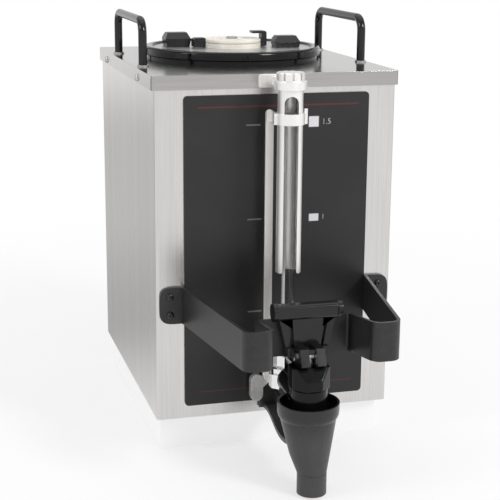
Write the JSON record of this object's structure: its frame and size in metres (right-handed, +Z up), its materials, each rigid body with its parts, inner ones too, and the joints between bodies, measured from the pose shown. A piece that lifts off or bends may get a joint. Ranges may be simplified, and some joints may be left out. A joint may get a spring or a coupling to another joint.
{
  "type": "coffee urn",
  "caption": "Insulated rectangular coffee server with lift-off brew-through lid, bail handles, sight gauge, lever tap, funnel spout guard and black guard band.",
  "frame": {"origin": "centre of the flat underside of the cabinet's base", "axes": "+Z up, the front with tap and gauge faces -Y, +X to the right seen from the front"},
  "size_m": [0.236, 0.4335, 0.4],
  "materials": {
    "brushed_stainless": "vertical brushed stainless sheet",
    "polished_stainless": "fine brushed, nearly polished stainless sheet",
    "stainless_dull": "mill finish stainless sheet",
    "lid_steel": "brushed stainless lid",
    "gauge_steel": "polished stainless tube and strip",
    "chrome_fittings": "chrome-plated brass",
    "screw_steel": "stainless fasteners",
    "screw_black": "blackened screws",
    "panel_black": "satin black overlay",
    "handle_black": "black plastic-dipped steel rod",
    "gloss_black": "glossy black collar",
    "grip_black": "satin black moulding",
    "port_ivory": "ivory moulding",
    "seal_silicone": "soft silicone",
    "insulation_felt": "glass-wool felt",
    "gauge_glass": "clear glass tube",
    "tap_black": "glossy black nylon",
    "guard_black": "glossy black moulding",
    "band_black": "semi-gloss black strap"
  },
  "bodies": {
    "server": {"body_shell": "brushed_stainless", "base_pan": "stainless_dull", "top_cover": "polished_stainless", "front_panel": "panel_black", "cover_screws": "screw_steel", "handle_left": "handle_black", "handle_right": "handle_black", "handle_washers": "screw_steel", "handle_nuts": "screw_steel", "tank_liner": "stainless_dull", "insulation": "insulation_felt", "outlet_boss": "stainless_dull", "lid_collar": "gloss_black", "tap_shank": "chrome_fittings", "shank_seal": "seal_silicone", "shank_jam_nut": "screw_steel", "wing_nut": "chrome_fittings", "gauge_stay": "gauge_steel", "gauge_clip": "gauge_steel", "gauge_base": "chrome_fittings", "gauge_packing_nut": "chrome_fittings", "gauge_seals": "seal_silicone", "gauge_glass": "gauge_glass", "gauge_shield": "gauge_steel", "gauge_top_bracket": "gauge_steel", "gauge_cap": "gauge_steel", "tap_body": "tap_black", "tap_bonnet": "tap_black", "spout_guard": "guard_black", "guard_band": "band_black", "guard_screws": "screw_black"},
    "lid": {"lid_plate": "lid_steel", "lid_gasket": "seal_silicone", "lid_grip_left": "grip_black", "lid_grip_right": "grip_black", "lid_grip_nuts": "screw_steel", "brew_port": "port_ivory", "port_clamp_ring": "port_ivory", "dial_pivot": "screw_steel"},
    "dial": {"port_dial": "port_ivory", "dial_lug": "grip_black", "dial_hook": "grip_black"},
    "stem": {"tap_stem": "gauge_steel", "seat_cup": "seal_silicone"},
    "lever": {"tap_lever": "tap_black", "lever_pin": "screw_steel"}
  },
  "joints": [
    {"name": "lid_lift", "type": "slide", "parent": "server", "child": "lid", "axis": [0, 0, 1], "range_m": [0, 0.12]},
    {"name": "dial_turn", "type": "hinge", "parent": "lid", "child": "dial", "pos_m": [0, 0.021, 0.335], "axis": [0, 0, 1], "range_deg": [0, 45]},
    {"name": "stem_lift", "type": "slide", "parent": "server", "child": "stem", "axis": [0, 0, 1], "range_m": [0, 0.006]},
    {"name": "lever_tilt", "type": "hinge", "parent": "stem", "child": "lever", "pos_m": [0, -0.247, 0.089], "axis": [1, 0, 0], "range_deg": [0, 40], "stiffness_Nm_per_rad": 0.15, "springref_deg": -11.46}
  ],
  "couplings": [
    {"joint": "stem_lift", "follows": "lever_tilt", "m_per_rad": 0.008594}
  ]
}
